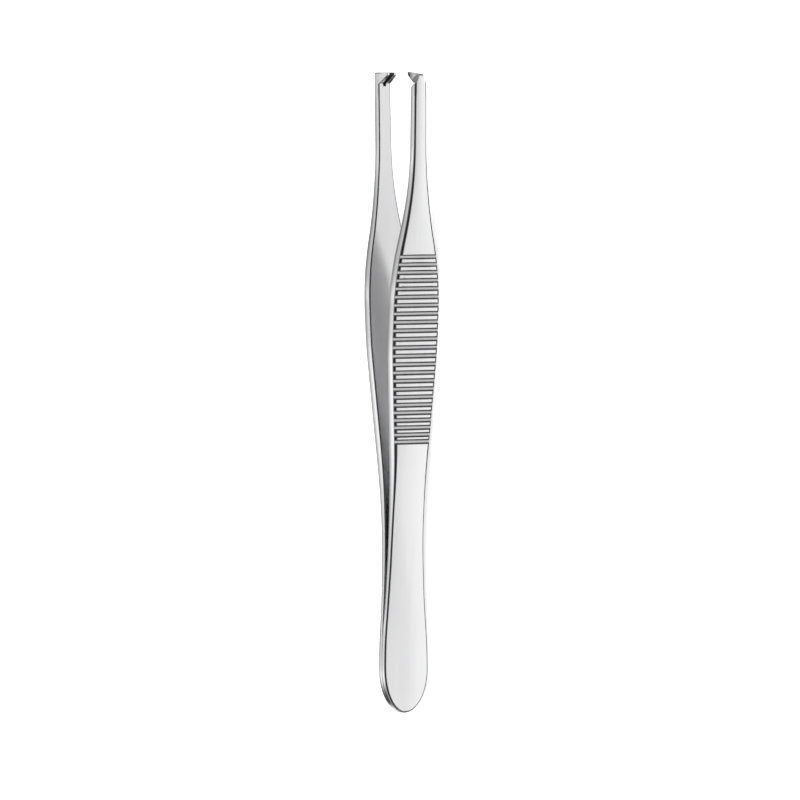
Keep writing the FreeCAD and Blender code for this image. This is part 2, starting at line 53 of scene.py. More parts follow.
HEEL_WIDTH = 10.5
WAIST_WIDTH = 7.7
GRIP_WIDTH = 10.96
SHANK_WIDTH = 3.04
TIP_WIDTH = 2.86
HEEL_ROUND = 9.0
HEEL_TAPER = 9.0
WAIST_RUN_IN = 24.0
WAIST_RUN_OUT = 11.7
FLARE_LENGTH = 17.3
GRIP_RUN_IN = 6.0
GRIP_FLAT = 4.0
GRIP_RUN_OUT = 15.1
SHANK_RUN_IN = 19.9
TIP_LENGTH = 14.0
HEEL_TAPER_END = HEEL_ROUND + HEEL_TAPER
WAIST_AT = HEEL_TAPER_END + WAIST_RUN_IN
FLARE_AT = WAIST_AT + WAIST_RUN_OUT
SWELL_AT = FLARE_AT + FLARE_LENGTH
FLAT_AT = SWELL_AT + GRIP_RUN_IN
FLAT_END = FLAT_AT + GRIP_FLAT
SHOULDER_AT = FLAT_END + GRIP_RUN_OUT
SHANK_AT = SHOULDER_AT + SHANK_RUN_IN
LENGTH = SHANK_AT + TIP_LENGTH

# Side profile: the bowed inner face and the thickened outer face

WELD_LENGTH = 16.0
WELD_LEAD = 1.0
WELD_ANGLE = math.radians(0.46)
GRIP_ANGLE = math.radians(4.175)
NECK_ANGLE = math.radians(5.43)
TIP_ANGLE = math.radians(1.2)
SPRING_LENGTH = 42.7
NECK_RUN_IN = 11.0
KNEE_RUN_IN = 14.0
LIFT_LEAD = 4.0
RAMP_LEAD = 4.0
PAD_AT = WELD_LENGTH + SPRING_LENGTH
NECK_AT = FLAT_END + NECK_RUN_IN
KNEE_AT = NECK_AT + KNEE_RUN_IN
LIFT_AT = WELD_LENGTH + LIFT_LEAD
RAMP_AT = WAIST_AT - RAMP_LEAD
NECK_RADIUS = 400.0
KNEE_RADIUS = 150.0
LIFT_RADIUS = 320.0
RAMP_RADIUS = 160.0
SPRING_THICKNESS = 1.3
RAMP_THICKNESS = 1.52
GRIP_THICKNESS = 2.55
KNEE_THICKNESS = 1.93
TIP_THICKNESS = 1.92

# Rounding of the edges, and what polishing leaves: a faint crown on the outer face, long
# sides that lean back a little beside their edges, and a fall at the heel's end

EDGE_SPRING = 0.4
EDGE_GRIP = 0.68
EDGE_TIP = 0.4
END_EDGE = 0.45
TOOTH_EDGE = 0.1
INNER_EDGE = 0.3
INNER_EDGE_TIP = 0.28
INNER_EDGE_RUN = 6.0
CROWN = 0.06
SIDE_LEAN = math.radians(4.2)
HEEL_FALL = 0.4

# Grooves of the grip

GROOVE_COUNT = 24
GROOVE_PITCH = 1.72
GROOVE_WIDEST_STEP = 9
GROOVE_CROWDING = 0.0018
GROOVE_WIDTH = 1.02
GROOVE_FLOOR = 0.4
GROOVE_DEPTH = 0.36
GROOVE_LEAD = 11.6
GROOVE_START = FLAT_END + GROOVE_LEAD

# Teeth

TOOTH_REACH = 2.68
TOOTH_HEIGHT = 2.3
NOSE_HEIGHT = 0.66
END_SLOPE_FRONT = 0.5
END_SLOPE_REAR = 0.1
TOOTH_TOP_WIDTH = 1.1
TOOTH_ROOT_WIDTH = 1.36
TOOTH_NOSE_WIDTH = 0.72
SHOULDER_DEPTH = 1.25
SHOULDER_FALL = 1.0
SLOT_DEPTH = 1.8
SLOT_FLOOR_WIDTH = 0.5
SLOT_MOUTH_WIDTH = 0.96
TWIN_NOSE_DRAFT = 0.29
TWIN_NOSE_WIDTH = TIP_WIDTH - 2 * TWIN_NOSE_DRAFT
SEAT_ANGLE = math.radians(29.0)
SEAT_SLANT = math.tan(SEAT_ANGLE)

# Fineness of the meshes

HEEL_STEPS = 40
BLADE_STEP = 0.6
EDGE_STEPS = 10
INNER_EDGE_STEPS = 4
SUPPORT = 0.03
INNER_SHARES = (0, 0.3, 0.6, 0.85, 1)
SIDE_SHARES = (0, 0.2, 0.4, 0.6, 0.8, 1)
OUTER_SHARES = (1, 0.9, 0.75, 0.6, 0.45, 0.3, 0.15, 0)
TIP_FROM = 125.2
TIP_JOIN = 0.15
TIP_GRID = 0.045
GRID_MARGIN = 3
CELL_CORNERS = 8
SLOPE_REACH = TIP_GRID / 20
LEAST_SLOPE = 0.05
SETTLE_ROUNDS = 4
HALVINGS = 60
MERGE = 0.0004


class BentLine:
    """A line of straight runs and tangent arcs, given by its heading at some stations."""

    def __init__(self, start_height, stations, headings):
        self.stations = np.array(stations, float)
        self.sines = np.sin(headings)
        self.heights = np.full(len(stations), float(start_height))
        for i in range(1, len(stations)):
            self.heights[i] = self.rise_from(i - 1, self.stations[i])

    def sine(self, at):
        """The sine of the heading at a station."""
        return np.interp(at, self.stations, self.sines)

    def rise_from(self, i, at):
        """The height at a station, reached along the arc that starts at knot i."""
        first, last = self.sines[i], self.sine(at)
        slope = (first + last) / (np.sqrt(1 - first**2) + np.sqrt(1 - last**2))
        return self.heights[i] + (at - self.stations[i]) * slope

    def height(self, at):
        """The height at any number of stations."""
        i = np.searchsorted(self.stations, at, side="right") - 1
        return self.rise_from(np.clip(i, 0, len(self.stations) - 2), at)


def rounded_line(corners):
    """A bent line through corners of (station, height, radius)."""
    headings = []
    for (x0, y0, _), (x1, y1, _) in zip(corners, corners[1:]):
        headings.append(math.atan2(y1 - y0, x1 - x0))
    stations, turns = [corners[0][0]], [headings[0]]
    for (at, _, radius), before, after in zip(corners[1:-1], headings, headings[1:]):
        reach = radius * math.tan(abs(after - before) / 2)
        stations += [at - reach * math.cos(before), at + reach * math.cos(after)]
        turns += [before, after]
    stations.append(corners[-1][0])
    turns.append(headings[-1])
    return BentLine(corners[0][1], stations, turns)


def steepest(make_line, end_height):
    """The line whose free heading makes it end at a wanted height."""
    low, high = -1.0, 1.0
    for _ in range(HALVINGS):
        middle = (low + high) / 2
        if make_line(middle).heights[-1] < end_height:
            low = middle
        else:
            high = middle
    return make_line(middle)


def join_lines(lines):
    """One bent line from several that follow each other."""
    stations = np.concatenate([line.stations for line in lines])
    headings = np.arcsin(np.concatenate([line.sines for line in lines]))
    return BentLine(lines[0].heights[0], stations, headings)


def make_outline():
    """Half the width of a blade in front of the heel's rounded end."""
    taper = math.atan((SHANK_WIDTH - TIP_WIDTH) / 2 / (LENGTH - SHANK_AT))

    def to_waist(heading):
        stations = [HEEL_ROUND, HEEL_TAPER_END, WAIST_AT]
        return BentLine(HEEL_WIDTH / 2, stations, [0, heading, 0])

    def to_grip(heading):
        stations = [WAIST_AT, FLARE_AT, SWELL_AT, FLAT_AT]
        return BentLine(WAIST_WIDTH / 2, stations, [0, heading, heading, 0])

    def to_shank(heading):
        stations = [FLAT_END, SHOULDER_AT, SHANK_AT]
        return BentLine(GRIP_WIDTH / 2, stations, [0, heading, -taper])

    tip = BentLine(SHANK_WIDTH / 2, [SHANK_AT, LENGTH], [-taper, -taper])
    return join_lines([
        steepest(to_waist, WAIST_WIDTH / 2),
        steepest(to_grip, GRIP_WIDTH / 2),
        steepest(to_shank, SHANK_WIDTH / 2),
        tip,
    ])


def make_inner_face():
    """How far a blade's inner face stands from the middle plane, and its corners do."""
    bow_start = WELD_LENGTH + WELD_LEAD * math.cos(WELD_ANGLE)
    spring = BentLine(0, [WELD_LENGTH, bow_start, PAD_AT], [WELD_ANGLE, WELD_ANGLE, GRIP_ANGLE])
    pad = spring.heights[-1]
    neck = pad + (NECK_AT - PAD_AT) * math.tan(GRIP_ANGLE)
    knee = neck + (KNEE_AT - NECK_AT) * math.tan(NECK_ANGLE)
    tip = knee + (LENGTH - KNEE_AT) * math.tan(TIP_ANGLE)
    front = rounded_line([
        (PAD_AT, pad, None),
        (NECK_AT, neck, NECK_RADIUS),
        (KNEE_AT, knee, KNEE_RADIUS),
        (LENGTH, tip, None),
    ])
    weld = BentLine(0, [0, WELD_LENGTH], [0, 0])
    return join_lines([weld, spring, front]), neck, knee, tip


def make_outer_face(inner, neck, knee, tip):
    """How far a blade's outer face stands from the middle plane."""
    grip_line = inner.height(PAD_AT) + (FLARE_AT - PAD_AT) * math.tan(GRIP_ANGLE)
    return rounded_line([
        (0, SPRING_THICKNESS, None),
        (LIFT_AT, SPRING_THICKNESS, LIFT_RADIUS),
        (RAMP_AT, inner.height(RAMP_AT) + RAMP_THICKNESS, RAMP_RADIUS),
        (FLARE_AT, grip_line + GRIP_THICKNESS, RAMP_RADIUS),
        (NECK_AT, neck + GRIP_THICKNESS, NECK_RADIUS),
        (KNEE_AT, knee + KNEE_THICKNESS, KNEE_RADIUS),
        (LENGTH, tip + TIP_THICKNESS, None),
    ])


outline = make_outline()
inner_face, NECK_INNER, KNEE_INNER, TIP_INNER = make_inner_face()
outer_face = make_outer_face(inner_face, NECK_INNER, KNEE_INNER, TIP_INNER)
TIP_OUTER = TIP_INNER + TIP_THICKNESS
ROOT_AT = LENGTH - TOOTH_HEIGHT
ROOT_INNER = TIP_INNER - TOOTH_HEIGHT * math.tan(TIP_ANGLE)
NOSE_AT = LENGTH - NOSE_HEIGHT
NOSE_INNER = ROOT_INNER - TOOTH_REACH


def share_of_heel(at):
    """How far back into the heel's rounded end a station lies, up to 1 at its end."""
    return np.clip((HEEL_ROUND - at) / HEEL_ROUND, 0, 1)


def half_width(at):
    """Half the width of a blade at any station."""
    heel = HEEL_WIDTH / 2 * np.sqrt(1 - share_of_heel(at)**2)
    return np.where(at < HEEL_ROUND, heel, outline.height(np.maximum(at, HEEL_ROUND)))


def face_drop(at, across):
    """How far the outer face has been polished down at a place."""
    back = share_of_heel(at)
    wide = half_width(np.maximum(at, HEEL_ROUND))
    return CROWN * ((across / wide)**2 + back**2) + HEEL_FALL * back**3


def outer_height(at, across):
    """The outer face, crown included."""
    return outer_face.height(at) - face_drop(at, across)


def outer_round(at):
    """The rounding of the outer long edges at a station."""
    marks = [WAIST_AT, FLARE_AT, NECK_AT, SHANK_AT]
    return np.interp(at, marks, [EDGE_SPRING, EDGE_GRIP, EDGE_GRIP, EDGE_TIP])


def inner_round(at):
    """The rounding of the inner long edges, none where the blades are welded."""
    marks = [WELD_LENGTH, WELD_LENGTH + INNER_EDGE_RUN, NECK_AT, SHANK_AT]
    return np.interp(at, marks, [0, INNER_EDGE, INNER_EDGE, INNER_EDGE_TIP])


def side_fall(at, share):
    """How far a long side falls back at a share of its height, most beside its edges."""
    height = outer_face.height(at) - inner_face.height(at) - outer_round(at) - inner_round(at)
    return height * math.tan(SIDE_LEAN) / 4 * (2 * share - 1)**2


# The blade behind its tip: rings of points from the heel's end to the tip's start

def edge_points():
    """Points along one long edge, each with the direction inwards, heel end first."""
    turn = np.linspace(0, math.pi / 2, HEEL_STEPS + 1)
    heel_at = HEEL_ROUND * (1 - np.cos(turn))
    heel_out = HEEL_WIDTH / 2 * np.sin(turn)
    inward = np.stack([np.cos(turn) / HEEL_ROUND, -np.sin(turn) * 2 / HEEL_WIDTH], 1)
    inward /= np.linalg.norm(inward, axis=1, keepdims=True)
    steps = int(round((TIP_FROM - TIP_JOIN - HEEL_ROUND) / BLADE_STEP))
    side_at = np.linspace(HEEL_ROUND, TIP_FROM - TIP_JOIN, steps + 1)[1:]
    side_out = outline.height(side_at)
    sine = outline.sine(side_at)
    side_inward = np.stack([sine, -np.sqrt(1 - sine**2)], 1)
    points = np.stack([np.append(heel_at, side_at), np.append(heel_out, side_out)], 1)
    return points, np.concatenate([inward, side_inward])


def half_ring():
    """Columns of points round one edge, from the middle of the inner face to the outer's."""
    points, inward = edge_points()
    at = points[:, 0]
    outer_r, inner_r, fall = outer_round(at), inner_round(at), side_fall(at, 1)
    columns = []

    def add(inset, share, height_of):
        place = points + inward * inset[:, None]
        place[:, 1] = np.maximum(place[:, 1], 0) * share
        columns.append(np.stack([place[:, 0], height_of(place[:, 0], place[:, 1]), place[:, 1]], 1))

    def on_inner(x, across):
        return inner_face.height(x)

    for share in INNER_SHARES:
        add(fall + inner_r + SUPPORT, share, on_inner)
    for step in range(INNER_EDGE_STEPS + 1):
        turn = math.pi / 2 * (1 - step / INNER_EDGE_STEPS)
        lift = inner_r * (1 - math.sin(turn))
        inset = fall + inner_r * (1 - math.cos(turn))
        add(inset, 1, lambda x, across: inner_face.height(x) + lift)
    for share in SIDE_SHARES:
        def on_side(x, across):
            low = inner_face.height(x) + inner_r + SUPPORT
            high = outer_height(x, across) - outer_r - SUPPORT
            return low + (high - low) * share
        add(side_fall(at, share), 1, on_side)
    for step in range(EDGE_STEPS + 1):
        turn = math.pi / 2 * step / EDGE_STEPS
        drop = outer_r * (1 - math.sin(turn))
        inset = fall + outer_r * (1 - math.cos(turn))
        add(inset, 1, lambda x, across: outer_height(x, across) - drop)
    for share in OUTER_SHARES:
        add(fall + outer_r + SUPPORT, share, outer_height)
    return np.stack(columns, 1)


def add_blade_bar(bm):
    """Add the blade up to its tip, and return the open edge loop at the tip's start."""
    near = half_ring()
    far = near[:, -2:0:-1] * np.array([1, 1, -1])
    rings = np.concatenate([near, far], 1)
    width = rings.shape[1]
    made = [[bm.verts.new(p) for p in ring] for ring in rings]
    for first, second in zip(made, made[1:]):
        for i in range(width):
            j = (i + 1) % width
            bm.faces.new((first[i], first[j], second[j], second[i]))
    bmesh.ops.remove_doubles(bm, verts=bm.verts, dist=MERGE)
    bmesh.ops.dissolve_degenerate(bm, edges=bm.edges, dist=MERGE)
    return [e for e in bm.edges if e.is_boundary]


# The tip: a solid given by signed distances, meshed on a fine grid

def rounded_meeting(parts, radius):
    """Where several solids meet, with the edges between them rounded."""
    deepest = np.maximum.reduce(parts)
    spread = np.sqrt(sum(np.maximum(part + radius, 0)**2 for part in parts)) - radius
    return np.where(deepest > -radius, spread, deepest)


def beyond_line(x, y, start, finish):
    """The distance of points to the right of a line from start to finish."""
    dx, dy = finish[0] - start[0], finish[1] - start[1]
    return ((x - start[0]) * dy - (y - start[1]) * dx) / math.hypot(dx, dy)


def shoulders_kept(slid, across):
    """What stays when both shoulders beside the single tooth are cut."""
    aside = np.abs(across)
    root, top, edge = TOOTH_ROOT_WIDTH / 2, TOOTH_TOP_WIDTH / 2, TIP_WIDTH / 2
    shoulder = SHOULDER_FALL * (aside - root) / (edge - root)
    past_shoulder = slid - (LENGTH - SHOULDER_DEPTH) + np.maximum(shoulder, 0)
    up = np.clip((slid - LENGTH + SHOULDER_DEPTH) / SHOULDER_DEPTH, 0, 1)
    beside_tooth = aside - (root + (top - root) * up)
    return np.minimum(past_shoulder * math.cos(SEAT_ANGLE), beside_tooth)


def slot_kept(slid, across):
    """What stays when the slot between the two teeth is cut."""
    floor, mouth = SLOT_FLOOR_WIDTH / 2, SLOT_MOUTH_WIDTH / 2
    up = np.clip((slid - LENGTH + SLOT_DEPTH) / SLOT_DEPTH, 0, 1)
    in_slot = floor + (mouth - floor) * up - np.abs(across)
    past_floor = slid - (LENGTH - SLOT_DEPTH)
    return np.minimum(past_floor * math.cos(SEAT_ANGLE), in_slot)


def tip_distance(places, teeth):
    """The signed distance of places to a toothed tip."""
    at, out, across = places[..., 0], places[..., 1], places[..., 2]
    low, high = inner_face.height(at), outer_height(at, across)
    share = np.clip((out - low) / (high - low), 0, 1)
    sides = np.abs(across) - half_width(at) + side_fall(at, share)
    bar = rounded_meeting([out - high, sides], EDGE_TIP)
    blade = rounded_meeting([bar, low - out], INNER_EDGE_TIP)
    undercut = beyond_line(at, out, (ROOT_AT, ROOT_INNER), (NOSE_AT, NOSE_INNER))
    narrowed = np.maximum(TIP_INNER - out, 0) / (TIP_INNER - NOSE_INNER)
    draft = (teeth["width"] - teeth["nose"]) / 2
    drawn_in = np.abs(across) - teeth["width"] / 2 + narrowed * draft
    tooth = rounded_meeting([bar, undercut, NOSE_INNER - out, drawn_in], TOOTH_EDGE)
    end = beyond_line(at, out, (teeth["nose_end"], NOSE_INNER), (teeth["outer_end"], TIP_OUTER))
    face_end = rounded_meeting([out - high, sides, end], END_EDGE)
    slid = at + (TIP_OUTER - out) * SEAT_SLANT
    whole = np.maximum(np.minimum(blade, tooth), face_end)
    return rounded_meeting([whole, teeth["kept"](slid, across)], TOOTH_EDGE)


def slope_at(distance, places):
    """The distance at some places and the direction in which it grows."""
    here = distance(places)
    slopes = []
    for axis in range(3):
        step = np.zeros(3)
        step[axis] = SLOPE_REACH
        slopes.append((distance(places + step) - distance(places - step)) / (2 * SLOPE_REACH))
    return here, np.stack(slopes, -1)


def settle(distance, places, free):
    """Move places onto the surface where the distance is nil, along the free axes."""
    for _ in range(SETTLE_ROUNDS):
        here, slope = slope_at(distance, places)
        slope *= free
        reach = here / np.maximum((slope**2).sum(-1), LEAST_SLOPE)
        places = places - slope * reach[:, None]
    return places


def tip_grid():
    """The corners of the grid that holds a tip, as three axes."""
    margin = GRID_MARGIN * TIP_GRID
    along = np.arange(TIP_FROM, LENGTH + margin, TIP_GRID)
    outwards = np.arange(NOSE_INNER - margin, TIP_OUTER + margin, TIP_GRID)
    reach = int(SHANK_WIDTH / 2 / TIP_GRID) + GRID_MARGIN
    across = (np.arange(-reach, reach) + 0.5) * TIP_GRID
    return along, outwards, across


def add_tip(bm, teeth):
    """Add a toothed tip, and return the open edge loop at its start."""
    axes = tip_grid()
    corners = np.stack(np.meshgrid(*axes, indexing="ij"), -1)
    inside = tip_distance(corners, teeth) < 0
    size = np.array(inside.shape) - 1
    filled = np.zeros(size, int)
    for dx in (0, 1):
        for dy in (0, 1):
            for dz in (0, 1):
                filled += inside[dx:dx + size[0], dy:dy + size[1], dz:dz + size[2]]
    crossed = (filled > 0) & (filled < CELL_CORNERS)
    number = np.full(size, -1)
    number[crossed] = np.arange(crossed.sum())
    places = corners[:-1, :-1, :-1][crossed] + TIP_GRID / 2
    at_start = np.argwhere(crossed)[:, 0] == 0

    def distance(points):
        return tip_distance(points, teeth)

    places = settle(distance, places, np.ones(3))
    places[at_start, 0] = TIP_FROM
    places[at_start] = settle(distance, places[at_start], np.array([0, 1, 1]))
    made = [bm.verts.new(p) for p in places]
    for axis in range(3):
        add_crossing_quads(bm, made, inside, number, axis)
    loose = [v for v in made if not v.link_faces]
    bmesh.ops.delete(bm, geom=loose, context="VERTS")
    return [e for e in bm.edges if e.is_boundary and e.verts[0].co.x > TIP_FROM - TIP_JOIN / 2]


def add_crossing_quads(bm, made, inside, number, axis):
    """Add a face round each grid edge along one axis that crosses the surface."""
    inside = np.moveaxis(inside, axis, 0)
    number = np.moveaxis(number, axis, 0)
    lower, upper = inside[:-1, 1:-1, 1:-1], inside[1:, 1:-1, 1:-1]
    for i, j, k in np.argwhere(lower != upper):
        near, far = number[i, j], number[i, j + 1]
        around = (near[k], far[k], far[k + 1], near[k + 1])
        bm.faces.new([made[n] for n in around])


def make_blade_mesh(name, side, teeth):
    """The closed mesh of one blade, without its grooves, in the part's frame."""
    bm = bmesh.new()
    bar_loop = add_blade_bar(bm)
    tip_loop = add_tip(bm, teeth)
    bmesh.ops.bridge_loops(bm, edges=bar_loop + tip_loop)
    for v in bm.verts:
        at, out, across = v.co
        v.co = ((at - LENGTH / 2) * MM, side * out * MM, (across + GRIP_WIDTH / 2) * MM)
    bmesh.ops.recalc_face_normals(bm, faces=bm.faces)
    mesh = bpy.data.meshes.new(name)
    bm.to_mesh(mesh)
    bm.free()
    return mesh


SINGLE_TOOTH = {
    "width": TOOTH_ROOT_WIDTH,
    "nose": TOOTH_NOSE_WIDTH,
    "nose_end": LENGTH,
    "outer_end": LENGTH - END_SLOPE_FRONT,
    "kept": shoulders_kept,
}
TWIN_TEETH = {
    "width": TIP_WIDTH,
    "nose": TWIN_NOSE_WIDTH,
    "nose_end": LENGTH - END_SLOPE_REAR,
    "outer_end": LENGTH,
    "kept": slot_kept,
}


# Shader groups shared by the finishes

def new_group(name, inputs, outputs):
    """A shader node group with float inputs and outputs, and its two end nodes."""
    tree = bpy.data.node_groups.new(name, "ShaderNodeTree")
    for label, value in inputs:
        socket = tree.interface.new_socket(label, in_out="INPUT", socket_type="NodeSocketFloat")
        socket.default_value = value
    for label in outputs:
        tree.interface.new_socket(label, in_out="OUTPUT", socket_type="NodeSocketFloat")
    return tree, tree.nodes.new("NodeGroupInput"), tree.nodes.new("NodeGroupOutput")


def link(tree, source, target):
    """Join an output socket to an input socket."""
    tree.links.new(source, target)


def give(tree, value, socket):
    """Give an input socket a number or an output socket."""
    if isinstance(value, (int, float)):
        socket.default_value = value
    else:
        link(tree, value, socket)


def maths(tree, operation, *values):
    """A maths node: each value is a number or an output socket."""
    node = tree.nodes.new("ShaderNodeMath")
    node.operation = operation
    for socket, value in zip(node.inputs, values):
        give(tree, value, socket)
    return node.outputs[0]


def stretched_noise(tree, along, upwards, across, detail):
    """Noise with its own number of waves a metre along each axis of the part."""
    place = tree.nodes.new("ShaderNodeTexCoord")
    scale = tree.nodes.new("ShaderNodeCombineXYZ")
    for socket, value in zip(scale.inputs, (along, upwards, across)):
        give(tree, value, socket)
    stretch = tree.nodes.new("ShaderNodeVectorMath")
    stretch.operation = "MULTIPLY"
    link(tree, place.outputs["Object"], stretch.inputs[0])
    link(tree, scale.outputs[0], stretch.inputs[1])
    noise = tree.nodes.new("ShaderNodeTexNoise")
    noise.inputs["Scale"].default_value = 1.0
    noise.inputs["Detail"].default_value = detail
    link(tree, stretch.outputs[0], noise.inputs["Vector"])
    return noise.outputs["Fac"]


GRINDING_INPUTS = [
    ("Along", 60.0),
    ("Upwards", 6000.0),
    ("Across", 6000.0),
    ("Roughness", 0.2),
    ("Swing", 0.1),
]
WEAR_INPUTS = [("Along", 18.0), ("Across", 220.0), ("Low", 0.4), ("High", 0.66)]
GRINDING_DETAIL = 4.0
WEAR_DETAIL = 3.0
WEAR_HAZE = 0.02


def make_grinding_group():
    """Fine parallel lines that a grinding belt leaves: a height and a roughness."""
    tree, start, end = new_group("belt grinding", GRINDING_INPUTS, ["Height", "Roughness"])
    given = start.outputs
    lines = stretched_noise(
        tree, given["Along"], given["Upwards"], given["Across"], GRINDING_DETAIL)
    centred = maths(tree, "SUBTRACT", lines, 0.5)
    swing = maths(tree, "MULTIPLY", centred, given["Swing"])
    link(tree, lines, end.inputs["Height"])
    link(tree, maths(tree, "ADD", given["Roughness"], swing), end.inputs["Roughness"])
    return tree


def make_handling_group():
    """Soft patches of wear from wiping and handling: a mask between 0 and 1."""
    tree, start, end = new_group("handling wear", WEAR_INPUTS, ["Wear"])
    given = start.outputs
    patches = stretched_noise(tree, given["Along"], given["Across"], given["Across"], WEAR_DETAIL)
    spread = tree.nodes.new("ShaderNodeMapRange")
    spread.interpolation_type = "SMOOTHSTEP"
    link(tree, patches, spread.inputs["Value"])
    link(tree, given["Low"], spread.inputs["From Min"])
    link(tree, given["High"], spread.inputs["From Max"])
    link(tree, spread.outputs["Result"], end.inputs["Wear"])
    return tree


grinding = make_grinding_group()
handling = make_handling_group()

STEEL = (0.80, 0.80, 0.805)
STEEL_WORN = (0.765, 0.765, 0.775)


def place_group(tree, group, **values):
    """A group node with its own values."""
    node = tree.nodes.new("ShaderNodeGroup")
    node.node_tree = group
    for label, value in values.items():
        node.inputs[label].default_value = value
    return node


def make_steel(name, rough, swing, waves, depth, painted_darkening=1.0):
    """Stainless steel with grinding lines, given by their waves a metre along each axis, its colour
    darkened by a painted darkening factor below 1 where the material carries painted shade.
    """
    material = bpy.data.materials.new(name)
    material.use_nodes = True
    tree = material.node_tree
    steel = tree.nodes["Principled BSDF"]
    steel.inputs["Metallic"].default_value = 1.0
    lines = place_group(
        tree, grinding, Along=waves[0], Upwards=waves[1], Across=waves[2],
        Roughness=rough, Swing=swing)
    wear = place_group(tree, handling)
    colour = tree.nodes.new("ShaderNodeMix")
    colour.data_type = "RGBA"
    # The painted darkening factor darkens both the bright and the worn steel colour: painted shade,
    # not a colour of the metal.
    colour.inputs["A"].default_value = (*(painted_darkening * part for part in STEEL), 1)
    colour.inputs["B"].default_value = (*(painted_darkening * part for part in STEEL_WORN), 1)
    link(tree, wear.outputs["Wear"], colour.inputs["Factor"])
    link(tree, colour.outputs["Result"], steel.inputs["Base Color"])
    haze = maths(
        tree, "MULTIPLY_ADD", wear.outputs["Wear"], WEAR_HAZE, lines.outputs["Roughness"])
    link(tree, haze, steel.inputs["Roughness"])
    bump = tree.nodes.new("ShaderNodeBump")
    bump.inputs["Distance"].default_value = depth
    link(tree, lines.outputs["Height"], bump.inputs["Height"])
    link(tree, bump.outputs["Normal"], steel.inputs["Normal"])
    return material


# The finishes: roughness and its swing, waves a metre along, upwards and across, the lines' depth
# in metres, and a painted darkening factor below 1 that darkens the steel's colour: a painted dark
# reflection on the rounded edges, painted shade in the grooves and in the slot between the teeth

LENGTHWISE_FINE = (30.0, 5000.0, 5000.0)
LENGTHWISE_COARSE = (25.0, 3600.0, 3600.0)
LENGTHWISE_WHEEL = (40.0, 9000.0, 9000.0)
LENGTHWISE_SATIN = (50.0, 7000.0, 7000.0)
CROSSWISE = (5000.0, 5000.0, 60.0)
SAWN = (4000.0, 4000.0, 4000.0)

polished_face = make_steel("polished_face", 0.13, 0.04, LENGTHWISE_FINE, 0.0000004)
ground_edge = make_steel("ground_edge", 0.18, 0.10, LENGTHWISE_COARSE, 0.0000040)
# Rounded edges: roughness and lines come from the polishing wheel, and the darkened colour is a
# painted dark reflection along every rounded edge.
rounded_edge_painted_reflection = make_steel("rounded_edge_painted_reflection", 0.2, 0.10, LENGTHWISE_WHEEL, 0.0000010, 0.45)
satin_inside = make_steel("satin_inside", 0.22, 0.08, LENGTHWISE_SATIN, 0.0000010)
# The slot between the twin teeth: a rough sawn finish, its colour made nearly black by painted
# shade in the slot.
sawn_slot_painted_shade = make_steel("sawn_slot_painted_shade", 0.5, 0.08, SAWN, 0.0000020, 0.25)
# Groove floors and walls: a rougher milled finish with crosswise lines, and colours darkened with
# painted shade in the grooves, the walls most.
groove_floor = make_steel("groove_floor", 0.25, 0.10, CROSSWISE, 0.0000008, 0.66)
groove_wall_painted_shade = make_steel("groove_wall_painted_shade", 0.35, 0.10, CROSSWISE, 0.0000008, 0.38)


# The grip's grooves: a tree that repeats one cutter along the face and cuts it out

GROOVE_MARK = "groove"
WALL_MARK = "groove wall"
WALL_LEAN = math.sin(math.radians(20))
GROOVE_LIP = 0.015
GROOVE_SECTION_POINTS = 33
GROOVE_CUTTER_HEIGHT = 1.5
GROOVE_OVERRUN = 3.0
SHARP_ANGLE = math.radians(28)


